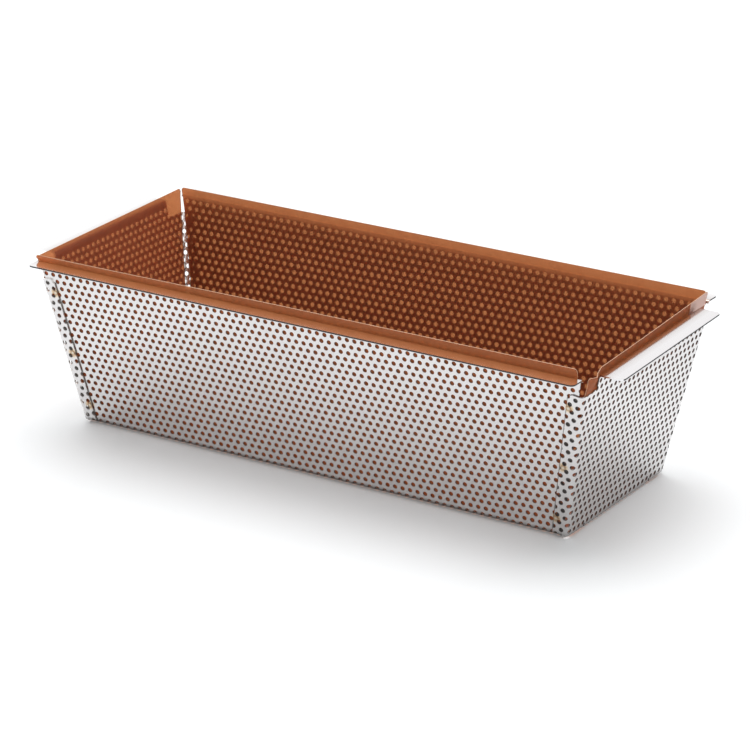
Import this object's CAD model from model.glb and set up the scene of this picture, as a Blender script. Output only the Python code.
"""The finished look of a perforated steel baking tin with a loose folded liner.

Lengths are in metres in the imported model's frame: +X runs along the tin, +Z points up, and the
middle of the footprint is the origin. A point of a wall is given by its distance along the wall
and its distance up the wall's slope, as in the part's source.
"""
import math

import bmesh
import bpy
import numpy as np
from mathutils import Matrix, Vector


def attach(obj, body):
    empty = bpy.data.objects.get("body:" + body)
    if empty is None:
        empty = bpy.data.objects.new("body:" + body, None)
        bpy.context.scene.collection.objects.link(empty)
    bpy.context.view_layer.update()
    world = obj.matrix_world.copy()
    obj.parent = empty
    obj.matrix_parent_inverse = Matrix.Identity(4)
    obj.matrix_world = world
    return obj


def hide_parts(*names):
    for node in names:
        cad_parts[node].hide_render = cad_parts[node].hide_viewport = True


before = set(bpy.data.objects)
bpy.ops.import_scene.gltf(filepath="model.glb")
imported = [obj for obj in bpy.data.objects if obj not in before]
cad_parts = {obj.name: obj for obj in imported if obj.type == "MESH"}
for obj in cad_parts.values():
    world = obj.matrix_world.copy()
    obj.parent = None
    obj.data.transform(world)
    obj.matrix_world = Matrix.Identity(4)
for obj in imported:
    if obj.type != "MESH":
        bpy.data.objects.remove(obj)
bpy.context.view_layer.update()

MM = 0.001

# The tin, as in the part's source
BASE_LENGTH, BASE_WIDTH, TIN_HEIGHT = 232 * MM, 78.5 * MM, 73 * MM
LONG_FLARE, END_FLARE = math.radians(9.75), math.radians(10.5)
STEEL = 0.6 * MM
END_RIM_LENGTH = 80 * MM
RIM_FOLD_RADIUS = 0.8 * MM
BASE_FOLD_RADIUS, CORNER_RADIUS, TAB_FOLD_RADIUS = 2 * MM, 2 * MM, 1.6 * MM
FLAP_DROP = 8 * MM
FLAP_HEIGHT = TIN_HEIGHT - FLAP_DROP
FLAP_WIDTH, FLAP_CORNER_RADIUS, FLAP_FOOT = 6.5 * MM, 2.5 * MM, 0.8 * MM
CUTBACK_RADIUS = 3 * MM
TAB_REACH, TAB_SETBACK, RELIEF_WIDTH = 10 * MM, 13 * MM, 1 * MM
SEAM_GAP = 0.2 * MM
PITCH, HOLE_DIAMETER, EDGE_METAL = 3.5 * MM, 2 * MM, 0.3 * MM

# The liner, as in the part's source
CLOTH, LINER_GAP, LINER_RISE, CREASE_RADIUS = 0.3 * MM, 0.3 * MM, 3.5 * MM, 1 * MM
SLIT_BOTTOM, SLIT_TOP, CLOTH_CORNER_RADIUS = 1.5 * MM, 3 * MM, 1.1 * MM

ROW_PITCH = PITCH * math.sin(math.radians(60))
LONG_FOLD, END_FOLD = math.pi / 2 - LONG_FLARE, math.pi / 2 - END_FLARE
CORNER_FOLD = math.acos(math.sin(LONG_FLARE) * math.sin(END_FLARE))
CORNER_TANGENT = CORNER_RADIUS * math.tan(CORNER_FOLD / 2)
CORNER_LEAN = math.atan(math.cos(END_FLARE) * math.tan(LONG_FLARE))
END_HALF_WIDTH = BASE_WIDTH / 2 + STEEL / math.cos(LONG_FLARE)
SEAM_SETBACK = CORNER_TANGENT + SEAM_GAP
LINER_TOP = TIN_HEIGHT + LINER_RISE
LINER_FLOOR = 2 * STEEL + LINER_GAP
LINER_DEPTH = STEEL + LINER_GAP


def slope_at(z, depth, flare):
    """Distance up a wall's slope of a point at height z and at a depth in front of its face."""
    return (z + depth * math.sin(flare)) / math.cos(flare)


def reach_at(slope, depth, flare, half):
    """Distance from the middle of the tin of a point up a wall's slope."""
    return half + slope * math.sin(flare) + depth * math.cos(flare)


def trough_half_length(z):
    return BASE_LENGTH / 2 + z * math.tan(END_FLARE) - SEAM_SETBACK / math.cos(END_FLARE)


def fold_length(radius, angle):
    """Length of the middle of a sheet in a fold of that outer radius."""
    return (radius - STEEL / 2) * angle


LONG_FLAT_START = slope_at(STEEL + BASE_FOLD_RADIUS, -BASE_FOLD_RADIUS, LONG_FLARE)
LONG_FLAT_END = slope_at(TIN_HEIGHT - STEEL - RIM_FOLD_RADIUS, RIM_FOLD_RADIUS, LONG_FLARE)
END_FLAT_START = slope_at(TAB_FOLD_RADIUS, -TAB_FOLD_RADIUS, END_FLARE)
END_FLAT_END = slope_at(TIN_HEIGHT - STEEL - RIM_FOLD_RADIUS, RIM_FOLD_RADIUS, END_FLARE)
END_FOOT = slope_at(FLAP_FOOT, 0, END_FLARE)
CUTBACK_START = slope_at(FLAP_HEIGHT, 0, END_FLARE)
BASE_HALF_WIDTH = reach_at(LONG_FLAT_START, -BASE_FOLD_RADIUS, LONG_FLARE, BASE_WIDTH / 2)
BASE_HALF_LENGTH = trough_half_length(STEEL)
TAB_HALF_WIDTH = BASE_WIDTH / 2 - TAB_SETBACK
BASE_FOLD_LENGTH = fold_length(BASE_FOLD_RADIUS, LONG_FOLD)
CORNER_FOLD_LENGTH = fold_length(CORNER_RADIUS, CORNER_FOLD)
TAB_FOLD_LENGTH = fold_length(TAB_FOLD_RADIUS, END_FOLD)


def wall_frame(half, flare, turn):
    """Frame of a wall's outer face: x along it, y up its slope and z out of it."""
    return (
        Matrix.Rotation(turn, 4, "Z")
        @ Matrix.Translation((0, -half, 0))
        @ Matrix.Rotation(math.pi / 2 + flare, 4, "X")
    )


FRONT = wall_frame(BASE_WIDTH / 2, LONG_FLARE, 0)
BACK = wall_frame(BASE_WIDTH / 2, LONG_FLARE, math.pi)
LEFT = wall_frame(BASE_LENGTH / 2, END_FLARE, -math.pi / 2)
RIGHT = wall_frame(BASE_LENGTH / 2, END_FLARE, math.pi / 2)


def placed(matrix, points, directions):
    """Points and directions of a frame, as arrays of rows, in the tin's frame."""
    m = np.array(matrix)
    return points @ m[:3, :3].T + m[:3, 3], directions @ m[:3, :3].T


# Node trees


class Signal:
    """An output of a node. Python arithmetic on it adds Math nodes to its tree."""

    def __init__(self, maker, socket):
        self.maker, self.socket = maker, socket

    def math(self, operation, *values):
        return self.maker.node("ShaderNodeMath", {"operation": operation}, (self, *values))

    def __add__(self, other):
        return self.math("ADD", other)

    def __sub__(self, other):
        return self.math("SUBTRACT", other)

    def __mul__(self, other):
        return self.math("MULTIPLY", other)

    def __truediv__(self, other):
        return self.math("DIVIDE", other)

    def __gt__(self, other):
        return self.math("GREATER_THAN", other)

    def __lt__(self, other):
        return self.math("LESS_THAN", other)

    def __rsub__(self, other):
        return self.maker.node("ShaderNodeMath", {"operation": "SUBTRACT"}, (other, self))

    def __rtruediv__(self, other):
        return self.maker.node("ShaderNodeMath", {"operation": "DIVIDE"}, (other, self))

    __radd__, __rmul__ = __add__, __mul__


class Maker:
    """Adds nodes to a tree."""

    def __init__(self, tree):
        self.tree = tree

    def node(self, kind, settings=None, inputs=(), output=0):
        """A node with its settings made first, then its inputs by number or name."""
        made = self.tree.nodes.new(kind)
        for name, value in (settings or {}).items():
            if name == "stops":
                self.set_stops(made.color_ramp, value)
            else:
                setattr(made, name, value)
        given = inputs.items() if isinstance(inputs, dict) else enumerate(inputs)
        for key, value in given:
            if isinstance(value, Signal):
                self.tree.links.new(value.socket, made.inputs[key])
            elif value is not None:
                made.inputs[key].default_value = value
        return Signal(self, made.outputs[output]) if len(made.outputs) else made

    @staticmethod
    def set_stops(ramp, stops):
        while len(ramp.elements) < len(stops):
            ramp.elements.new(1)
        for element, (position, colour) in zip(ramp.elements, stops):
            element.position, element.color = position, colour

    def parts(self, vector):
        """The x, y and z of a vector."""
        split = self.node("ShaderNodeSeparateXYZ", inputs=[vector]).socket.node
        return [Signal(self, socket) for socket in split.outputs]

    def vector(self, x, y, z=0.0):
        return self.node("ShaderNodeCombineXYZ", inputs=[x, y, z])

    def ramp(self, value, low, high, at_low=0.0, at_high=1.0, smooth=False):
        """The value's place between low and high, as a number from at_low to at_high."""
        kind = "SMOOTHSTEP" if smooth else "LINEAR"
        settings = {"interpolation_type": kind, "clamp": True}
        return self.node("ShaderNodeMapRange", settings, [value, low, high, at_low, at_high])

    def rays(self, *kinds):
        """For each of those kinds, whether the ray that meets the surface is one of them."""
        path = self.node("ShaderNodeLightPath").socket.node
        return [Signal(self, path.outputs[f"Is {kind} Ray"]) for kind in kinds]


class Finish(Maker):
    """A material under construction."""

    def __init__(self, name):
        self.material = bpy.data.materials.new(name)
        self.material.use_nodes = True
        super().__init__(self.material.node_tree)
        self.tree.nodes.clear()

    def place(self):
        return self.node("ShaderNodeTexCoord", output="Object")

    def unsigned(self, vector):
        """A vector's parts without their signs, which are the same at all four corners of the tin."""
        return self.node("ShaderNodeVectorMath", {"operation": "ABSOLUTE"}, [vector])

    def facing(self):
        """The x, y and z of the surface's normal."""
        return self.parts(self.node("ShaderNodeNewGeometry", output="Normal"))

    def noise(self, vector, scale, detail, roughness=0.5):
        inputs = {"Vector": vector, "Scale": scale, "Detail": detail, "Roughness": roughness}
        return self.node("ShaderNodeTexNoise", None, inputs)

    def stretched(self, vector, x, y, z):
        return self.node("ShaderNodeVectorMath", {"operation": "MULTIPLY"}, [vector, (x, y, z)])

    def mixed(self, factor, first, second):
        """A colour between two colours."""
        return self.node("ShaderNodeMix", {"data_type": "RGBA"}, {0: factor, 6: first, 7: second}, 2)

    def bump(self, height, distance, strength):
        inputs = {"Strength": strength, "Distance": distance, "Height": height}
        return self.node("ShaderNodeBump", None, inputs)

    def surface(self, shader):
        self.node("ShaderNodeOutputMaterial", None, {"Surface": shader})
        return self.material

    def metal(self, colour, roughness, normal):
        """The finished material of bare metal."""
        inputs = {"Base Color": colour, "Metallic": 1.0, "Roughness": roughness, "Normal": normal}
        return self.surface(self.node("ShaderNodeBsdfPrincipled", None, inputs))


# Finishes

# The steel's colours
SHEET_DULL, SHEET_BRIGHT = (0.725, 0.705, 0.70, 1), (0.79, 0.775, 0.772, 1)
RIM_DULL, RIM_BRIGHT = (0.86, 0.845, 0.85, 1), (0.90, 0.885, 0.89, 1)
LEFT_RIM, RIGHT_RIM = (0.98, 0.98, 0.985, 1), (0.70, 0.68, 0.69, 1)
RIM_CUT = (0.055, 0.053, 0.056, 1)
CUT_STEEL, LIT_CUT_STEEL = (0.15, 0.14, 0.135, 1), (0.62, 0.60, 0.58, 1)
COVERED_STEEL = (0.10, 0.09, 0.085, 1)
# Dull steel low on the folds at the foot
SHADED_FOOT = (0.10, 0.092, 0.086, 1)
# The long walls' steel close to the flaps' free edges
SEAM_SHADE = (0.075, 0.066, 0.06, 1)
# The cloth's brown on the rims, beside the walls
BROWN_SHADE = (0.34, 0.22, 0.16, 1)

# A heat tint's colours from a spot weld outward, and the distances from the weld's middle between
# which they change and between which they fade into clean steel
TINT_STOPS = [
    (0.0, (0.62, 0.56, 0.50, 1)),
    (0.3, (0.46, 0.29, 0.15, 1)),
    (0.55, (0.72, 0.56, 0.36, 1)),
    (1.0, (0.82, 0.76, 0.68, 1)),
]
TINT_START, TINT_END, FADE_START, FADE_END = 0.5 * MM, 2.6 * MM, 1.5 * MM, 2.9 * MM
TINT_WAVER = 1.2 * MM
WELD_STOPS = [(0.0, (0.72, 0.68, 0.63, 1)), (0.6, (0.62, 0.50, 0.36, 1)), (1.0, (0.42, 0.28, 0.16, 1))]
WELD_RADIUS = 1 * MM
# Two spots of one flap are more than this apart in height, and one spot is less than this high
SPOT_STEP = 5 * MM

# Heights between which the shade at the foot fades out
FOOT_SHADE_LOW, FOOT_SHADE_HIGH = 1 * MM, 3.5 * MM
# The shade beside a flap starts just under the flap, fades out over two distances from its free edge
# and ends below its top
SEAM_START, SEAM_FADE_START, SEAM_FADE_END, SEAM_DROP = -0.5 * MM, 0.45 * MM, 1.0 * MM, 1 * MM

# The walls' outer faces at the height of the rim
WALL_TOP_X = BASE_LENGTH / 2 + TIN_HEIGHT * math.tan(END_FLARE)
WALL_TOP_Y = BASE_WIDTH / 2 + TIN_HEIGHT * math.tan(LONG_FLARE)
# How far out of the walls the rims' dark cut edges start
END_RIM_EDGE, LONG_RIM_EDGE = 9.3 * MM, 1.0 * MM
# How far out of the wall the brown on a rim starts to fade, is weak and is gone
BROWN_START, BROWN_WEAK, BROWN_END = 0.4 * MM, 1.3 * MM, 6 * MM

# Heights of the finest relief: rolling streaks, the grain of cut steel and of welds, and the cloth
STREAK_RELIEF, CUT_RELIEF, WELD_RELIEF, CLOTH_RELIEF = 0.004 * MM, 0.03 * MM, 0.02 * MM, 0.03 * MM


def heat_spots():
    """The middles of one flap's spot welds; the other flaps' are their mirror images."""
    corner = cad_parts["front_right_spot_welds"].data
    points = sorted((tuple(v.co) for v in corner.vertices), key=lambda p: p[2])
    groups = [[points[0]]]
    for point in points[1:]:
        if point[2] - groups[-1][-1][2] > SPOT_STEP:
            groups.append([])
        groups[-1].append(point)
    return [np.abs((np.min(g, 0) + np.max(g, 0)) / 2) for g in groups]


def weld_distance(made, place):
    """Distance from the nearest spot weld."""
    corner = made.unsigned(place)
    nearest = None
    for spot in heat_spots():
        settings = {"operation": "DISTANCE"}
        away = made.node("ShaderNodeVectorMath", settings, [corner, tuple(spot)], "Value")
        nearest = away if nearest is None else nearest.math("MINIMUM", away)
    return nearest


def rolled_steel(made, place, dull, bright):
    """Smudges, faint rolling streaks and the colour of stainless sheet, with heat tint at the welds."""
    streaks = made.noise(made.stretched(place, 0.04, 0.04, 1), 1800, 2)
    smudges = made.noise(place, 45, 3, 0.6)
    away = weld_distance(made, place) + (made.noise(place, 900, 2) - 0.5) * TINT_WAVER
    tint = made.node("ShaderNodeValToRGB", {"stops": TINT_STOPS}, [made.ramp(away, TINT_START, TINT_END)])
    tinted = made.ramp(away, FADE_START, FADE_END, 0.85, 0.0, smooth=True)
    return smudges, streaks, made.mixed(tinted, made.mixed(smudges, dull, bright), tint)


def sheet_finish():
    """The perforated sheets: bright, dull at the foot and dark beside the flaps' free edges."""
    made = Finish("bright_rolled_steel")
    place = made.place()
    smudges, streaks, colour = rolled_steel(made, place, SHEET_DULL, SHEET_BRIGHT)
    x, y, _ = made.parts(made.unsigned(place))
    height = made.parts(place)[2]
    low = made.ramp(height, FOOT_SHADE_LOW, FOOT_SHADE_HIGH, 0.85, 0.0, smooth=True)
    at_end = x > BASE_LENGTH / 2 - BASE_FOLD_RADIUS
    colour = made.mixed(low * (1 - at_end * 0.55), colour, SHADED_FOOT)
    past_flap = height * math.tan(END_FLARE) - x + (BASE_LENGTH / 2 - FLAP_WIDTH)
    on_wall = (y - height * math.tan(LONG_FLARE)).math("COMPARE", BASE_WIDTH / 2, STEEL / 2)
    beside = on_wall * (height < FLAP_HEIGHT - SEAM_DROP) * (past_flap > SEAM_START)
    seam = made.ramp(past_flap, SEAM_FADE_START, SEAM_FADE_END, 0.85, 0, smooth=True)
    colour = made.mixed(seam * beside, colour, SEAM_SHADE)
    roughness = 0.13 + smudges * 0.06 + streaks * 0.05
    return made.metal(colour, roughness, made.bump(streaks, STREAK_RELIEF, 0.4))


def rim_finish():
    """The plain rims: brightest at the left end, brown beside the walls and dark at the cut edges."""
    made = Finish("bright_rim_steel")
    place = made.place()
    smudges, streaks, colour = rolled_steel(made, place, RIM_DULL, RIM_BRIGHT)
    x, y, _ = made.parts(made.unsigned(place))
    past_end, past_side = x - WALL_TOP_X, y - WALL_TOP_Y
    along = made.parts(place)[0]
    colour = made.mixed((along < -WALL_TOP_X) * 0.6, colour, LEFT_RIM)
    colour = made.mixed((along > WALL_TOP_X) * 0.35, colour, RIGHT_RIM)
    out = past_end.math("MAXIMUM", past_side)
    strong = made.ramp(out, BROWN_START, BROWN_WEAK, 0.8, 0.3)
    colour = made.mixed(strong * made.ramp(out, BROWN_WEAK, BROWN_END, 1, 0), colour, BROWN_SHADE)
    outside = (past_end > END_RIM_EDGE).math("MAXIMUM", past_side > LONG_RIM_EDGE)
    edge = outside * made.ramp(made.facing()[2].math("ABSOLUTE"), 0.3, 0.5, 1, 0)
    colour = made.mixed(edge, colour, RIM_CUT)
    roughness = 0.07 + smudges * 0.06 + streaks * 0.05 + edge * 0.35
    return made.metal(colour, roughness, made.bump(streaks, STREAK_RELIEF, 0.4))


def dull_steel(name, colour, roughness):
    """Steel at cut edges and in hole walls, or shut in where two sheets overlap."""
    made = Finish(name)
    mottle = made.noise(made.place(), 2200, 3)
    mottled = made.mixed(mottle, colour, tuple(c * 1.5 for c in colour[:3]) + (1,))
    return made.metal(mottled, roughness + mottle * 0.15, made.bump(mottle, CUT_RELIEF, 0.5))


def weld_finish():
    """Flattened weld buttons: dull grey in the middle, straw to brown at the rim."""
    made = Finish("heat_tinted_weld")
    place = made.place()
    away = made.ramp(weld_distance(made, place), 0, WELD_RADIUS)
    tint = made.node("ShaderNodeValToRGB", {"stops": WELD_STOPS}, [away])
    mottle = made.noise(place, 2500, 3)
    return made.metal(tint, 0.28 + mottle * 0.2, made.bump(mottle, WELD_RELIEF, 0.6))


def crease_slope(flare):
    """How far up a wall's slope the liner's crease ends."""
    return slope_at(LINER_FLOOR + CREASE_RADIUS, -LINER_DEPTH - CREASE_RADIUS, flare)


def cloth_half(flare, half):
    """Half of the liner's flat base in the direction of a wall."""
    return reach_at(crease_slope(flare), -LINER_DEPTH - CREASE_RADIUS, flare, half)


def crease_length(flare):
    return (CREASE_RADIUS - CLOTH / 2) * (math.pi / 2 - flare)


def panel_reach(flare, half):
    """How far a panel's top edge is from the middle of the liner, laid flat."""
    rise = slope_at(LINER_TOP, -LINER_DEPTH, flare) - crease_slope(flare)
    return cloth_half(flare, half) + crease_length(flare) + rise


THREAD = 0.42 * MM
# The cloth's colours in the darker and the lighter spots of its mottle: its coat, the coat where it
# is paler, the light that passes straight through it and the light that it scatters
BROWN_COAT = (0.28, 0.100, 0.053, 1), (0.37, 0.141, 0.075, 1)
PALE_COAT = (0.50, 0.180, 0.098, 1), (0.64, 0.25, 0.138, 1)
CLEAR_LIGHT = (0.95, 0.57, 0.34, 1), (1.0, 0.65, 0.40, 1)
SOFT_LIGHT = (0.90, 0.54, 0.31, 1), (0.97, 0.62, 0.37, 1)
CUT_YARN = (0.50, 0.26, 0.15, 1), (0.72, 0.45, 0.29, 1)
# A pale patch outside the right panel's back end: how far out and along it starts, laid flat
PATCH_OUT, PATCH_ALONG, PATCH_COLOUR = BASE_LENGTH / 2 + 70 * MM, 35.4 * MM, (0.74, 0.50, 0.43, 1)
# The left panel is paler: how far out, laid flat, it starts to pale and is wholly pale
BLEACHED_FROM, BLEACHED_FULL = BASE_LENGTH / 2, BASE_LENGTH / 2 + 15 * MM
# The long panels' tops are a little paler: how far below their edges it starts and is full
BACK_TOP_FROM, BACK_TOP_FULL = 5.5 * MM, 4.2 * MM
FRONT_TOP_FROM, FRONT_TOP_FULL = 4.5 * MM, 3.5 * MM


def cloth_finish():
    """Brown resin-coated glass cloth: a fine plain weave under a satin coat that light passes."""
    made = Finish("coated_glass_cloth")
    flat = made.node("ShaderNodeUVMap", {"uv_map": "cloth"})
    u, v, _ = made.parts(flat)
    warp = (u * (2 * math.pi / THREAD)).math("SINE")
    weft = (v * (2 * math.pi / THREAD)).math("SINE")
    weave = warp * weft
    mottle = made.noise(flat, 210, 4, 0.6)
    slubs_up, slubs_along = made.stretched(flat, 1, 0.06, 1), made.stretched(flat, 0.06, 1, 1)
    slubs = made.noise(slubs_up, 2600, 2) + made.noise(slubs_along, 2600, 2)
    shade = made.ramp(mottle * 0.6 + slubs * 0.25 + weave * 0.05, 0.35, 0.85)
    patch = (u > PATCH_OUT) * (v > PATCH_ALONG) * (made.facing()[0] > 0)
    on_left = made.ramp(u, -BLEACHED_FROM, -BLEACHED_FULL, smooth=True)
    reach = panel_reach(LONG_FLARE, BASE_WIDTH / 2)
    back_top = made.ramp(v, reach - BACK_TOP_FROM, reach - BACK_TOP_FULL, smooth=True)
    front_top = made.ramp(v, FRONT_TOP_FROM - reach, FRONT_TOP_FULL - reach, smooth=True)
    bleached = on_left + back_top * 0.45 + front_top * 0.15
    colour = made.mixed(bleached, made.mixed(shade, *BROWN_COAT), made.mixed(shade, *PALE_COAT))
    normal = made.bump(weave * 0.5 + slubs * 0.4, CLOTH_RELIEF, 0.35)
    coat = made.node("ShaderNodeBsdfPrincipled", None, {
        "Base Color": made.mixed(patch, colour, PATCH_COLOUR),
        "Roughness": 0.42 + mottle * 0.12,
        "Specular IOR Level": 0.4,
        "Normal": normal,
    })
    soft_inputs = {"Color": made.mixed(shade, *SOFT_LIGHT), "Normal": normal}
    soft = made.node("ShaderNodeBsdfTranslucent", None, soft_inputs)
    clear = made.node("ShaderNodeBsdfTransparent", None, {"Color": made.mixed(shade, *CLEAR_LIGHT)})
    passed = made.node("ShaderNodeMixShader", None, [0.80 - back_top * 0.3, soft, clear])
    return made.surface(made.node("ShaderNodeMixShader", None, [0.58 - patch * 0.48, coat, passed]))


def cloth_edge_finish():
    """The cloth's cut edge, where the pale glass yarn shows."""
    made = Finish("cut_cloth_edge")
    fray = made.noise(made.place(), 2600, 2)
    shader = made.node("ShaderNodeBsdfPrincipled", None, {
        "Base Color": made.mixed(fray, *CUT_YARN),
        "Roughness": 0.6,
        "Normal": made.bump(fray, CLOTH_RELIEF, 0.5),
    })
    return made.surface(shader)


# The perforated sheets

HOLE_SIDES = 18
# Corners of neighbouring tiles closer than this are one
TILE_MERGE = 0.002 * MM
# A tile whose middle is nearer than this to an outline may be cut by it
TILE_REACH = PITCH * 0.7
# Lengths in metres that count as none, in a sheet and in a cut
SHEET_TOLERANCE, CUT_TOLERANCE = 1e-6, 1e-7
# How far inside a flap's free edge the trough's faces count as covered
COVER_MARGIN = 0.1 * MM
STEEL_SHARP_ANGLE, CLOTH_SHARP_ANGLE = math.radians(40), math.radians(50)
HOLE_MARGIN = HOLE_DIAMETER / 2 + EDGE_METAL
# A hole of the trough's pattern, in the front wall's frame
FIRST_HOLE = (-4.34 * MM, 35.2 * MM)


def perforation_tree():
    """A flat sheet of hexagonal tiles on a close-packed lattice, each with a round hole."""
    tree = bpy.data.node_groups.new("perforated_sheet", "GeometryNodeTree")
    sockets = [
        ("Columns", "NodeSocketInt"), ("Rows", "NodeSocketInt"),
        ("Pitch", "NodeSocketFloat"), ("Hole Diameter", "NodeSocketFloat"),
        ("First Hole", "NodeSocketVector"),
        ("Lowest Hole", "NodeSocketFloat"), ("Highest Hole", "NodeSocketFloat"),
        ("Slant", "NodeSocketFloat"),
        ("Finish", "NodeSocketMaterial"),
    ]
    tree.interface.new_socket("Geometry", in_out="OUTPUT", socket_type="NodeSocketGeometry")
    for name, kind in sockets:
        tree.interface.new_socket(name, in_out="INPUT", socket_type=kind)
    made = Maker(tree)
    given = {name: made.node("NodeGroupInput", output=name) for name, _ in sockets}
    pitch, columns, rows = given["Pitch"], given["Columns"], given["Rows"]
    row_pitch = pitch * math.sin(math.radians(60))

    def at(geometry, position):
        return made.node("GeometryNodeSetPosition", None, {0: geometry, 2: position})

    def hexagon_radius(turn):
        """Radius of a tile's outline in a direction, measured in turns from one of its corners."""
        across = ((turn * 6).math("FRACT") - 0.5) * (math.pi / 3)
        return (pitch / 2) / across.math("COSINE")

    def polar(radius, turn):
        angle = turn * -(2 * math.pi) + math.radians(30)
        return made.vector(radius * angle.math("COSINE"), radius * angle.math("SINE"))

    strip = made.node("GeometryNodeMeshGrid", None, [1.0, 1.0, HOLE_SIDES + 1, 2])
    across, inward, _ = made.parts(made.node("GeometryNodeInputPosition"))
    turn, share = across + 0.5, inward + 0.5
    outline, hole = hexagon_radius(turn), given["Hole Diameter"] / 2
    pierced = at(strip, polar(hole + share * (outline - hole), turn))
    disc = made.node("GeometryNodeMeshCircle", {"fill_type": "NGON"}, {"Vertices": HOLE_SIDES})
    step = made.node("GeometryNodeInputIndex") / HOLE_SIDES
    plain = made.node("GeometryNodeFlipFaces", None, [at(disc, polar(hexagon_radius(step), step))])

    long, wide = pitch * (columns - 1), row_pitch * (rows - 1)
    lattice = made.node("GeometryNodeMeshGrid", None, [long, wide, columns, rows])
    x, y, _ = made.parts(made.node("GeometryNodeInputPosition"))
    row = ((y + wide / 2) / row_pitch).math("ROUND")
    first_x, first_y, _ = made.parts(given["First Hole"])
    stagger = row.math("MODULO", 2.0) * pitch / 2
    points = at(lattice, made.vector(x + long / 2 + first_x + stagger, y + wide / 2 + first_y))
    along, height, _ = made.parts(made.node("GeometryNodeInputPosition"))
    level = height - along * given["Slant"]
    open_here = (height > given["Lowest Hole"]) * (level < given["Highest Hole"])
    tiles = made.node("GeometryNodeJoinGeometry")
    join = tiles.socket.node
    for chosen, tile in ((open_here, pierced), (1 - open_here, plain)):
        inputs = {"Points": points, "Selection": chosen, "Instance": tile}
        spread = made.node("GeometryNodeInstanceOnPoints", None, inputs)
        tree.links.new(spread.socket, join.inputs[0])
    real = made.node("GeometryNodeRealizeInstances", None, [tiles])
    merged = made.node("GeometryNodeMergeByDistance", None, {"Geometry": real, "Distance": TILE_MERGE})
    finished = made.node("GeometryNodeSetMaterial", None, {"Geometry": merged, "Material": given["Finish"]})
    made.node("NodeGroupOutput", None, [finished])
    return tree


def add_piece(name, mesh):
    piece = bpy.data.objects.new(name, mesh)
    bpy.context.scene.collection.objects.link(piece)
    return piece


def made_mesh(host):
    """The mesh that an object's modifiers make. The object itself is removed."""
    mesh = bpy.data.meshes.new_from_object(host.evaluated_get(bpy.context.evaluated_depsgraph_get()))
    bpy.data.objects.remove(host)
    return mesh


def perforated(tree, outline, first_hole, limits, finish, slant=0.0):
    """The tiled flat sheet that covers an outline."""
    (low_x, low_y), (high_x, high_y) = np.min(outline, 0).tolist(), np.max(outline, 0).tolist()
    rows_down = math.ceil((first_hole[1] - low_y) / ROW_PITCH) + 1
    columns_left = math.ceil((first_hole[0] - low_x) / PITCH) + 1
    corner = (
        first_hole[0] - (columns_left + (rows_down % 2) / 2) * PITCH,
        first_hole[1] - rows_down * ROW_PITCH,
        0.0,
    )
    sizes = {
        "Columns": math.ceil((high_x - corner[0]) / PITCH) + 2,
        "Rows": math.ceil((high_y - corner[1]) / ROW_PITCH) + 2,
        "Pitch": PITCH,
        "Hole Diameter": HOLE_DIAMETER,
        "First Hole": corner,
        "Lowest Hole": limits[0],
        "Highest Hole": limits[1],
        "Slant": slant,
        "Finish": finish,
    }
    host = add_piece("blank", bpy.data.meshes.new("blank"))
    modifier = host.modifiers.new("perforation", "NODES")
    modifier.node_group = tree
    for item in tree.interface.items_tree:
        if item.in_out == "INPUT":
            modifier[item.identifier] = sizes[item.name]
    return made_mesh(host)


def inside(points, outline):
    """Whether each point lies inside an outline."""
    within = np.zeros(len(points), bool)
    x, y = points[:, 0], points[:, 1]
    for (ax, ay), (bx, by) in zip(outline, np.roll(outline, -1, 0)):
        crosses = (ay > y) != (by > y)
        rise = by - ay if by != ay else 1.0
        within ^= crosses & (x < ax + (bx - ax) * (y - ay) / rise)
    return within


def off_outline(points, outline):
    """Distance of each point from an outline."""
    least = np.full(len(points), np.inf)
    for a, b in zip(outline, np.roll(outline, -1, 0)):
        along = np.clip((points - a) @ (b - a) / ((b - a) @ (b - a)), 0, 1)
        least = np.minimum(least, np.hypot(*(points - a - along[:, None] * (b - a)).T))
    return least


def cut_out(mesh, outline):
    """The part of a flat sheet inside an outline, as points and faces."""
    outline = np.array(outline)
    sheet = bmesh.new()
    sheet.from_mesh(mesh)
    bpy.data.meshes.remove(mesh)
    faces = list(sheet.faces)
    centres = np.array([f.calc_center_median()[:2] for f in faces])
    near = off_outline(centres, outline) < TILE_REACH
    gone = ~near & ~inside(centres, outline)
    border = {f for f, close in zip(faces, near) if close}
    bmesh.ops.delete(sheet, geom=[f for f, out in zip(faces, gone) if out], context="FACES")
    for a, b in zip(outline, np.roll(outline, -1, 0)):
        low, high = np.minimum(a, b) - SHEET_TOLERANCE, np.maximum(a, b) + SHEET_TOLERANCE
        touched = []
        for face in border:
            xs = [v.co.x for v in face.verts]
            ys = [v.co.y for v in face.verts]
            if max(xs) > low[0] and min(xs) < high[0] and max(ys) > low[1] and min(ys) < high[1]:
                touched.append(face)
        if not touched:
            continue
        edges = {e for f in touched for e in f.edges}
        verts = {v for f in touched for v in f.verts}
        normal = (b[1] - a[1], a[0] - b[0], 0)
        cut = bmesh.ops.bisect_plane(
            sheet, geom=touched + list(edges) + list(verts), dist=CUT_TOLERANCE,
            plane_co=(a[0], a[1], 0), plane_no=normal,
        )
        border |= {g for g in cut["geom"] if isinstance(g, bmesh.types.BMFace)}
        border = {f for f in border if f.is_valid}
    left = list(border)
    centres = np.array([f.calc_center_median()[:2] for f in left])
    outer = [f for f, kept in zip(left, inside(centres, outline)) if not kept]
    bmesh.ops.delete(sheet, geom=outer, context="FACES")
    bmesh.ops.dissolve_degenerate(sheet, dist=SHEET_TOLERANCE, edges=sheet.edges)
    sheet.verts.index_update()
    points = np.array([v.co[:2] for v in sheet.verts])
    corners = [[v.index for v in f.verts] for f in sheet.faces]
    sheet.free()
    return points, corners


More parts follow.
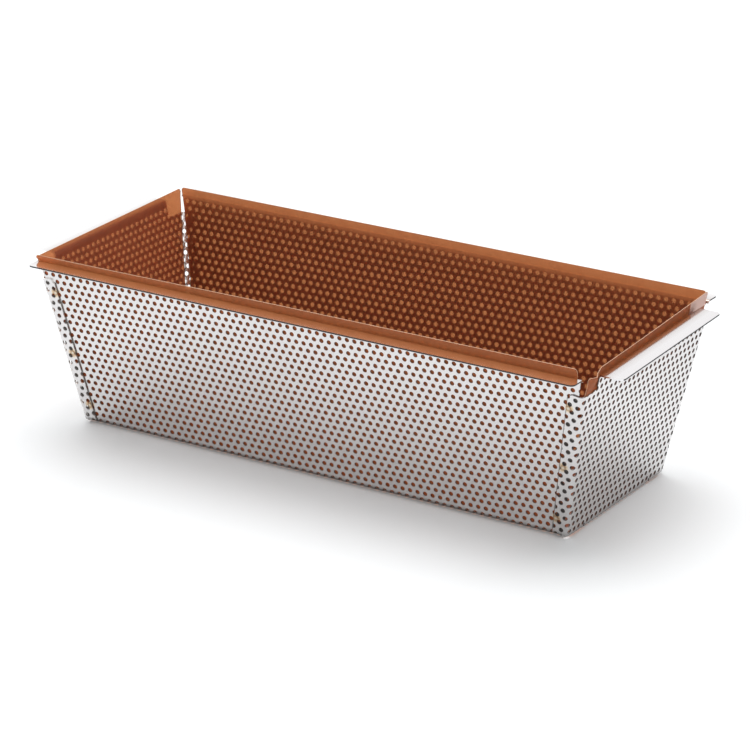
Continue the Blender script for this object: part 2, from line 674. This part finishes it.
def shut_in(points, faces):
    """Whether each face of the trough's blank lies under a flap."""
    centres = np.array([points[f].mean(0) for f in faces])
    slope = np.abs(centres[:, 1] - TROUGH_MIDDLE) + TROUGH_MIDDLE
    end = BASE_LENGTH / 2 + slope * math.cos(LONG_FLARE) * math.tan(END_FLARE)
    return (np.abs(centres[:, 0]) > end - FLAP_WIDTH + COVER_MARGIN) & (slope < FLAP_HEIGHT)


def thick_sheet(name, points, faces, surface, finishes, covered=None):
    """A sheet of steel whose flat points are bent by a surface, which gives places and normals."""
    outer, normals = surface(points)
    inner = outer - STEEL * normals
    count = len(points)
    followed = {(f[k - 1], f[k]) for f in faces for k in range(len(f))}
    rims = [(a, a + count, b + count, b) for a, b in followed if (b, a) not in followed]
    under = [[i + count for i in reversed(f)] for f in faces]
    mesh = bpy.data.meshes.new(name)
    mesh.from_pydata(np.vstack([outer, inner]).tolist(), [], faces + under + sorted(rims))
    mesh.shade_smooth()
    mesh.set_sharp_from_angle(angle=STEEL_SHARP_ANGLE)
    for finish in finishes:
        mesh.materials.append(finish)
    kinds = np.zeros(len(mesh.polygons), np.int32)
    kinds[2 * len(faces):] = 1
    if covered is not None:
        kinds[:len(faces)][covered] = 2
    mesh.polygons.foreach_set("material_index", kinds)
    return add_piece(name, mesh)


def rolled(distance, radius, angle, length):
    """Along, out and heading of a sheet that folds from the heading 0, by distance past its start."""
    turn = np.clip(distance / length, 0, 1) * angle
    past = np.maximum(distance - length, 0)
    along = radius * np.sin(turn) + past * np.cos(turn)
    out = radius * np.cos(turn) - radius - past * np.sin(turn)
    return along, out, turn


TROUGH_MIDDLE = LONG_FLAT_START - BASE_FOLD_LENGTH - BASE_HALF_WIDTH


def trough_surface(points):
    """The trough's outer face: front wall, fold, base, fold and back wall of one blank."""
    x, y = points[:, 0], points[:, 1] - TROUGH_MIDDLE
    far = y < 0
    x, y = np.where(far, -x, x), np.abs(y)
    slope = y + TROUGH_MIDDLE
    drop, out, turn = rolled(LONG_FLAT_START - slope, BASE_FOLD_RADIUS, LONG_FOLD, BASE_FOLD_LENGTH)
    height = np.where(slope > LONG_FLAT_START, slope, LONG_FLAT_START - drop)
    flat = slope >= LONG_FLAT_START
    out, turn = np.where(flat, 0, out), np.where(flat, 0, turn)
    local = np.stack([x, height, out], 1)
    normal = np.stack([0 * x, -np.sin(turn), np.cos(turn)], 1)
    front, back = placed(FRONT, local, normal), placed(BACK, local, normal)
    return [np.where(far[:, None], b, a) for a, b in zip(front, back)]


def end_surface(matrix):
    """The outer face of an end piece: wall, corner folds, flaps and bottom tab of one blank."""

    def surface(points):
        x, y = points[:, 0], points[:, 1]
        sign = np.where(x > 0, 1, -1)
        inward = END_HALF_WIDTH - np.abs(x)
        across = inward * math.cos(CORNER_LEAN) + y * math.sin(CORNER_LEAN)
        up = y * math.cos(CORNER_LEAN) - inward * math.sin(CORNER_LEAN)
        side, out, turn = rolled(
            np.maximum(CORNER_TANGENT - across, 0), CORNER_RADIUS, CORNER_FOLD, CORNER_FOLD_LENGTH
        )
        across = np.where(across < CORNER_TANGENT, CORNER_TANGENT - side, across)
        inward = across * math.cos(CORNER_LEAN) - up * math.sin(CORNER_LEAN)
        height = across * math.sin(CORNER_LEAN) + up * math.cos(CORNER_LEAN)
        local = np.stack([sign * (END_HALF_WIDTH - inward), height, out], 1)
        facing = -np.sin(turn)
        normal = np.stack(
            [-sign * facing * math.cos(CORNER_LEAN), facing * math.sin(CORNER_LEAN), np.cos(turn)], 1
        )
        tab = (np.abs(x) < TAB_HALF_WIDTH + RELIEF_WIDTH / 2) & (y < END_FLAT_START)
        drop, tab_out, tab_turn = rolled(
            np.maximum(END_FLAT_START - y, 0), TAB_FOLD_RADIUS, END_FOLD, TAB_FOLD_LENGTH
        )
        tab_local = np.stack([x, END_FLAT_START - drop, tab_out], 1)
        tab_normal = np.stack([0 * x, -np.sin(tab_turn), np.cos(tab_turn)], 1)
        local = np.where(tab[:, None], tab_local, local)
        normal = np.where(tab[:, None], tab_normal, normal)
        return placed(matrix, local, normal)

    return surface


def arc(centre, radius, start, stop, steps=8):
    """Points of an arc between two headings in degrees."""
    turns = np.radians(np.linspace(start, stop, steps + 1))
    return [(centre[0] + radius * math.cos(t), centre[1] + radius * math.sin(t)) for t in turns]


def corner_to_wall(across, up):
    """A point of a corner's frame in its end wall's frame, on the side of positive x."""
    inward = across * math.cos(CORNER_LEAN) - up * math.sin(CORNER_LEAN)
    return END_HALF_WIDTH - inward, across * math.sin(CORNER_LEAN) + up * math.cos(CORNER_LEAN)


# The right end's rim dips towards the front: its slant, and how much both its ends hang besides
RIM_SLANT, RIM_SAG = 0.030, 0.55 * MM
RIM_POINTS = 9


def rim_lift(along):
    """How far the right end's rim stands above its plain model at a place along it."""
    share = np.clip(along / (END_RIM_LENGTH / 2), -1, 1)
    return RIM_SLANT * share * END_RIM_LENGTH / 2 - RIM_SAG * share**2


def slanted_rim(finish):
    """The right end's rim, which isn't quite level."""
    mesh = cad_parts["right_end_rim"].data.copy()
    for vertex in mesh.vertices:
        lift = float(rim_lift(vertex.co.y))
        vertex.co.x += lift * math.tan(END_FLARE)
        vertex.co.z += lift
    mesh.materials.clear()
    mesh.materials.append(finish)
    settle(add_piece("right_rim_sheet", mesh), "tin", ["right_end_rim"])


def end_outline(lift):
    """The blank of an end piece up to its rim, anticlockwise, in its wall's frame."""
    flap_start = END_FOOT / math.cos(CORNER_LEAN)
    flap_end = (CUTBACK_START - CORNER_TANGENT * math.sin(CORNER_LEAN)) / math.cos(CORNER_LEAN)
    free_edge = CORNER_TANGENT - CORNER_FOLD_LENGTH - (FLAP_WIDTH - CORNER_TANGENT)
    neck = END_RIM_LENGTH / 2
    tab_end = END_FLAT_START - TAB_FOLD_LENGTH - TAB_REACH
    slot_top = END_FLAT_START + RELIEF_WIDTH
    rounded_middle = (free_edge + FLAP_CORNER_RADIUS, flap_end - FLAP_CORNER_RADIUS)
    flap = [
        (CORNER_TANGENT, flap_start), (free_edge, flap_start),
        *arc(rounded_middle, FLAP_CORNER_RADIUS, 180, 90), (CORNER_TANGENT, flap_end),
    ]
    cutback_middle = (neck + CUTBACK_RADIUS, CUTBACK_START + CUTBACK_RADIUS)
    right = [
        (TAB_HALF_WIDTH, tab_end), (TAB_HALF_WIDTH, slot_top),
        (TAB_HALF_WIDTH + RELIEF_WIDTH, slot_top), (TAB_HALF_WIDTH + RELIEF_WIDTH, END_FOOT),
        *(corner_to_wall(*p) for p in flap),
        *arc(cutback_middle, CUTBACK_RADIUS, 270, 180),
    ]
    across = np.linspace(neck, -neck, RIM_POINTS)
    top = list(zip(across, END_FLAT_END + lift(across) / math.cos(END_FLARE)))
    return right + top + [(-x, y) for x, y in reversed(right)]


def settle(piece, body, nodes):
    """Puts a finished piece on its body, in place of the nodes that it stands for."""
    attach(piece, body)
    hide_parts(*nodes)


def trough_outlines():
    """The front, base and back of the trough's blank, anticlockwise, in the front wall's frame."""
    low = trough_half_length(LONG_FLAT_START * math.cos(LONG_FLARE))
    high = trough_half_length(LONG_FLAT_END * math.cos(LONG_FLARE))
    front_end = LONG_FLAT_START - BASE_FOLD_LENGTH
    back_end = 2 * TROUGH_MIDDLE - front_end
    front = [
        (-BASE_HALF_LENGTH, front_end), (BASE_HALF_LENGTH, front_end), (low, LONG_FLAT_START),
        (high, LONG_FLAT_END), (-high, LONG_FLAT_END), (-low, LONG_FLAT_START),
    ]
    base = [
        (-BASE_HALF_LENGTH, back_end), (BASE_HALF_LENGTH, back_end),
        (BASE_HALF_LENGTH, front_end), (-BASE_HALF_LENGTH, front_end),
    ]
    return front, base, [(x, 2 * TROUGH_MIDDLE - y) for x, y in reversed(front)]


def make_trough(tree, plain, lit):
    """The trough's three sheets. The holes at the back lie half a pitch further along."""
    front, base, back = trough_outlines()
    top = LONG_FLAT_END - HOLE_MARGIN
    limits = (2 * TROUGH_MIDDLE - top, top)
    for name, outline, nodes, finishes, shift in (
        ("trough_front_sheet", front, ("trough_front_wall", "trough_front_fold"), plain, 0.0),
        ("trough_base_sheet", base, ("trough_base",), plain, 0.0),
        ("trough_back_sheet", back, ("trough_back_wall", "trough_back_fold"), lit, PITCH / 2),
    ):
        hole = (FIRST_HOLE[0] + shift, FIRST_HOLE[1])
        points, faces = cut_out(perforated(tree, outline, hole, limits, plain[0]), outline)
        covered = shut_in(points, faces)
        piece = thick_sheet(name, points, faces, trough_surface, finishes, covered)
        settle(piece, "tin", nodes)


def make_ends(tree, plain, lit):
    """The two end pieces' sheets up to their rims."""
    first = (0.0, END_FLAT_START + PITCH / 2)
    for side, matrix, lift, slant, sag, finishes in (
        ("left", LEFT, np.zeros_like, 0.0, 0.0, lit),
        ("right", RIGHT, rim_lift, RIM_SLANT, RIM_SAG, plain),
    ):
        outline = end_outline(lift)
        limits = (min(y for _, y in outline), END_FLAT_END - HOLE_MARGIN - sag)
        points, faces = cut_out(perforated(tree, outline, first, limits, plain[0], slant), outline)
        piece = thick_sheet(side + "_end_sheet", points, faces, end_surface(matrix), finishes)
        parts = ("wall", "tab", "front_flap", "back_flap")
        settle(piece, "tin", [f"{side}_end_{part}" for part in parts])


# The liner

COLUMN_SPACING, ROW_SPACING = 4 * MM, 3.5 * MM
# Distances in millimetres from a panel's ends and top edge, where its corners are round
END_COLUMNS = (0, 0.3, 0.7, 1.2, 1.9, 3, 5)
TOP_ROWS = (12.5, 11, 9.5, 8, 6.5, 5, 4, 3.2, 2.6, 2, 1.5, 1.0, 0.6, 0.3, 0.1, 0)
# The evenly spaced rows start this far above the crease and stop this far below the top
FIRST_ROW, LAST_ROW = 3 * MM, 14 * MM
CREASE_STEPS = 6
# The round top corners' drop fades out this far below the top edge
CORNER_FADE = 4 * MM


def smooth(value, low, high):
    share = np.clip((value - low) / (high - low), 0, 1)
    return share * share * (3 - 2 * share)


def grid_lines(half):
    """Places along a panel, close together near its ends where its top corners are round."""
    inner = half - END_COLUMNS[-1] * MM
    count = math.ceil(2 * inner / COLUMN_SPACING)
    ends = [half - e * MM for e in END_COLUMNS[:-1]]
    return [-e for e in ends] + list(np.linspace(-inner, inner, count + 1)) + ends[::-1]


# How far each panel stands outward of its plane, by its place along (-1 to 1), its place up (0 to 1)
# and its distance along


def front_stand(along, rise, x):
    """The top leans out, most at the left, and the panel below it bellies out a little."""
    lean = (1.1 * MM + 1.0 * MM * smooth(-along, 0, 0.9)) * np.clip((rise - 0.945) / 0.055, 0, 1)
    return lean + 0.1 * MM * smooth(rise, 0.02, 0.2) * smooth(rise, 0.98, 0.9)


def back_stand(along, rise, x):
    """The top leans into the tin."""
    return -1.3 * MM * smooth(rise, 0.75, 1)


def left_stand(along, rise, x):
    """The top leans out, most at the front."""
    return 0.5 * MM * smooth(along, -1, 1) * smooth(rise, 0.95, 1)


def right_stand(along, rise, x):
    """The panel leans in towards the back, and its top curls out near the front end."""
    lean = -1.2 * MM * ((along + 1) / 2) ** 2 * rise**3
    curl = smooth(-x, 40.2 * MM, 47 * MM) * (1 - 0.6 * smooth(-x, 46 * MM, 51 * MM))
    return lean + 3.0 * MM * curl * np.clip((rise - 0.86) / 0.12, 0, 1)


# For each panel: how much longer its top is at each end than in the plain model, how much higher its
# corners stand, and how it stands off its plane
PANELS = {
    "front": ((2.2 * MM, 0), (-0.4 * MM, 0.7 * MM), front_stand),
    "right": ((2.3 * MM, 2.6 * MM), (-3.2 * MM, 0.6 * MM), right_stand),
    "back": ((1.6 * MM, 1.2 * MM), (0.7 * MM, -0.4 * MM), back_stand),
    "left": ((2.6 * MM, 3.0 * MM), (-1.2 * MM, -2.1 * MM), left_stand),
}


def panel_rows(matrix, flare, half, cross, cross_half, columns, panel, turn):
    """Rows of places and of flat places up one panel, from its crease to its top edge."""
    ends, corners, stand = panel
    columns = np.array(columns)
    start, top = crease_slope(flare), slope_at(LINER_TOP, -LINER_DEPTH, flare)
    low = cloth_half(cross, cross_half) - SLIT_BOTTOM
    top_half = cross_half + LINER_TOP * math.tan(cross) - (LINER_DEPTH + CLOTH) / math.cos(cross)
    high = top_half - SLIT_TOP
    along = columns / low
    longer = np.where(along < 0, ends[0], ends[1])
    higher = 1 + np.interp(along, (-1, 1), corners) / (top - start)
    crease = crease_length(flare)
    foot = cloth_half(flare, half)
    spin = np.array(Matrix.Rotation(turn * math.pi / 2, 2))

    def row(x, height, out, flat_y):
        local = np.stack([x, height, np.broadcast_to(out, along.shape)], 1)
        flat = np.stack([x, np.broadcast_to(flat_y, along.shape)], 1) @ spin.T
        return placed(matrix, local, local)[0], flat

    for share in np.linspace(0, 1, CREASE_STEPS + 1)[1:]:
        lean = (math.pi / 2 - flare) * (1 - share)
        out = -LINER_DEPTH - CREASE_RADIUS + CREASE_RADIUS * math.cos(lean)
        height = np.broadcast_to(start - CREASE_RADIUS * math.sin(lean), along.shape)
        yield row(columns, height, out, -foot - crease * share)
    levels = list(np.arange(start + FIRST_ROW, top - LAST_ROW, ROW_SPACING))
    levels += [top - distance * MM for distance in TOP_ROWS]
    for level in levels:
        rise = (level - start) / (top - start)
        half_here = low + (high - low) * rise + longer * rise
        into = np.maximum(np.abs(along) * half_here - (half_here - CLOTH_CORNER_RADIUS), 0)
        drop = CLOTH_CORNER_RADIUS - np.sqrt(np.maximum(CLOTH_CORNER_RADIUS**2 - into**2, 0))
        height = start + (level - start) * higher - drop * smooth(level, top - CORNER_FADE, top)
        x = along * half_here
        yield row(x, height, -LINER_DEPTH + stand(along, rise, x), -foot - crease - height + start)


def liner_blank():
    """Places, flat places and faces of the liner's outer side: its base and four panels."""
    half_x, half_y = cloth_half(END_FLARE, BASE_LENGTH / 2), cloth_half(LONG_FLARE, BASE_WIDTH / 2)
    lines_x, lines_y = grid_lines(half_x - SLIT_BOTTOM), grid_lines(half_y - SLIT_BOTTOM)
    all_x, all_y = [-half_x, *lines_x, half_x], [-half_y, *lines_y, half_y]
    places, flats, faces = [], [], []

    def point(place, flat):
        places.append(tuple(place))
        flats.append(tuple(flat))
        return len(places) - 1

    def strip(lower, upper):
        faces.extend((lower[k], lower[k + 1], upper[k + 1], upper[k]) for k in range(len(lower) - 1))

    base = [[point((x, y, LINER_FLOOR), (x, y)) for x in all_x] for y in all_y]
    for lower, upper in zip(base, base[1:]):
        strip(upper, lower)

    long_wall = (LONG_FLARE, BASE_WIDTH / 2, END_FLARE, BASE_LENGTH / 2, lines_x)
    end_wall = (END_FLARE, BASE_LENGTH / 2, LONG_FLARE, BASE_WIDTH / 2, lines_y)
    walls = {
        "front": ((FRONT, *long_wall), base[0][1:-1]),
        "right": ((RIGHT, *end_wall), [row[-1] for row in base[1:-1]]),
        "back": ((BACK, *long_wall), base[-1][1:-1][::-1]),
        "left": ((LEFT, *end_wall), [row[0] for row in base[1:-1]][::-1]),
    }
    for turn, (side, panel) in enumerate(PANELS.items()):
        wall, previous = walls[side]
        for row_places, row_flats in panel_rows(*wall, panel, turn):
            upper = [point(place, flat) for place, flat in zip(row_places, row_flats)]
            strip(previous, upper)
            previous = upper
    return places, flats, faces


def make_liner(finish, edge_finish):
    """The folded liner as one piece of cloth, with its flat size and area."""
    places, flats, faces = liner_blank()
    mesh = bpy.data.meshes.new("liner")
    mesh.from_pydata(places, [], faces)
    layer = mesh.uv_layers.new(name="cloth")
    for loop, uv in zip(mesh.loops, layer.data):
        uv.uv = flats[loop.vertex_index]
    mesh.shade_smooth()
    mesh.materials.append(finish)
    mesh.materials.append(edge_finish)
    blank = add_piece("liner_blank", mesh)
    body = blank.modifiers.new("cloth", "SOLIDIFY")
    body.thickness, body.offset, body.use_even_offset = CLOTH, -1, True
    body.material_offset_rim = 1
    solid = made_mesh(blank)
    solid.set_sharp_from_angle(angle=CLOTH_SHARP_ANGLE)
    liner = add_piece("liner_cloth", solid)
    settle(liner, "liner", ["liner_base"] + [f"liner_{side}_panel" for side in PANELS])

    flat = np.array(flats)
    corners = flat[np.array(faces)]


# The setting

FLOOR_WHITE, FLOOR_HALF, FLOOR_HEIGHT = (0.905, 0.92, 0.93, 1), 6.0, -0.05 * MM
# The sky's strength where it is seen or reflected, and as a light. Straight overhead, reflections of it
# are weaker by a share, between two heights.
SKY_SEEN, SKY_LIGHT = 1.06, 0.42
OVERHEAD_FROM, OVERHEAD_FULL, OVERHEAD_SHARE = 0.5, 0.95, 0.5
SUN_STRENGTH, SUN_WIDTH, SUN_FROM = 2.4, math.radians(58), (-0.27, 0.38, 1.2)

CAMERA_PLACE = (0.74535, -1.1820, 0.572817)
CAMERA_AZIMUTH, CAMERA_ELEVATION = math.radians(32.13), math.radians(21.171)
FOCAL_PIXELS, PICTURE_PIXELS, SENSOR_WIDTH = 3655.8, 750, 36
NEAREST_SEEN, FARTHEST_SEEN = 0.05, 50


def make_floor():
    """A wide white floor that shines a little where it is seen or reflected."""
    made = Finish("white_floor")
    diffuse = made.node("ShaderNodeBsdfDiffuse", None, {"Color": FLOOR_WHITE})
    seen, glossy, through = made.rays("Camera", "Glossy", "Transmission")
    lift = seen * 0.12 + (glossy + through) * 0.05
    glow = made.node("ShaderNodeEmission", None, {"Color": (1, 1, 1, 1), "Strength": lift})
    mesh = bpy.data.meshes.new("floor")
    signs = ((-1, -1), (1, -1), (1, 1), (-1, 1))
    corners = [(x * FLOOR_HALF, y * FLOOR_HALF, FLOOR_HEIGHT) for x, y in signs]
    mesh.from_pydata(corners, [], [(0, 1, 2, 3)])
    mesh.materials.append(made.surface(made.node("ShaderNodeAddShader", None, [diffuse, glow])))
    add_piece("floor", mesh)


def make_light():
    """A white sky and one soft light from above."""
    world = bpy.data.worlds.new("studio")
    world.use_nodes = True
    bpy.context.scene.world = world
    sky = Maker(world.node_tree)
    sky.tree.nodes.clear()
    seen, mirrored, through = sky.rays("Camera", "Glossy", "Transmission")
    shown = (seen + mirrored + through).math("MINIMUM", 1.0)
    upward = sky.parts(sky.node("ShaderNodeTexCoord", output="Generated"))[2]
    overhead = sky.ramp(upward, OVERHEAD_FROM, OVERHEAD_FULL, 0, OVERHEAD_SHARE, smooth=True)
    strength = sky.ramp(shown, 0, 1, SKY_LIGHT, SKY_SEEN) * (1 - mirrored * overhead)
    light = sky.node("ShaderNodeBackground", None, {"Color": (1, 1, 1, 1), "Strength": strength})
    sky.node("ShaderNodeOutputWorld", None, {"Surface": light})

    sun = bpy.data.lights.new("soft_key", "SUN")
    sun.energy, sun.angle = SUN_STRENGTH, SUN_WIDTH
    key = bpy.data.objects.new("soft_key", sun)
    key.rotation_euler = Vector(SUN_FROM).to_track_quat("Z", "Y").to_euler()
    bpy.context.scene.collection.objects.link(key)


def make_camera():
    level = math.cos(CAMERA_ELEVATION)
    back = Vector((
        math.sin(CAMERA_AZIMUTH) * level, -math.cos(CAMERA_AZIMUTH) * level, math.sin(CAMERA_ELEVATION)
    ))
    right = Vector((0, 0, 1)).cross(back).normalized()
    up = back.cross(right)
    camera_data = bpy.data.cameras.new("camera")
    camera_data.sensor_fit, camera_data.sensor_width = "HORIZONTAL", SENSOR_WIDTH
    camera_data.lens = FOCAL_PIXELS / PICTURE_PIXELS * SENSOR_WIDTH
    camera_data.clip_start, camera_data.clip_end = NEAREST_SEEN, FARTHEST_SEEN
    camera = bpy.data.objects.new("camera", camera_data)
    turn = Matrix((right, up, back)).transposed().to_4x4()
    camera.matrix_world = Matrix.Translation(CAMERA_PLACE) @ turn
    bpy.context.scene.collection.objects.link(camera)
    bpy.context.scene.camera = camera


make_camera()
bright, rim_steel = sheet_finish(), rim_finish()
cut = dull_steel("cut_steel", CUT_STEEL, 0.4)
covered = dull_steel("covered_steel", COVERED_STEEL, 0.45)
lit_cut = dull_steel("lit_cut_steel", LIT_CUT_STEEL, 0.3)
weld, cloth = weld_finish(), cloth_finish()
for name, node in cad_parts.items():
    node.data.materials.clear()
    node.data.materials.append(weld if "weld" in name else cloth if "liner" in name else rim_steel)
perforation = perforation_tree()
plain, lit = [bright, cut, covered], [bright, lit_cut, covered]
make_trough(perforation, plain, lit)
make_ends(perforation, plain, lit)
slanted_rim(rim_steel)
make_liner(cloth, cloth_edge_finish())
make_floor()
make_light()
bpy.context.scene.view_settings.view_transform = "Standard"
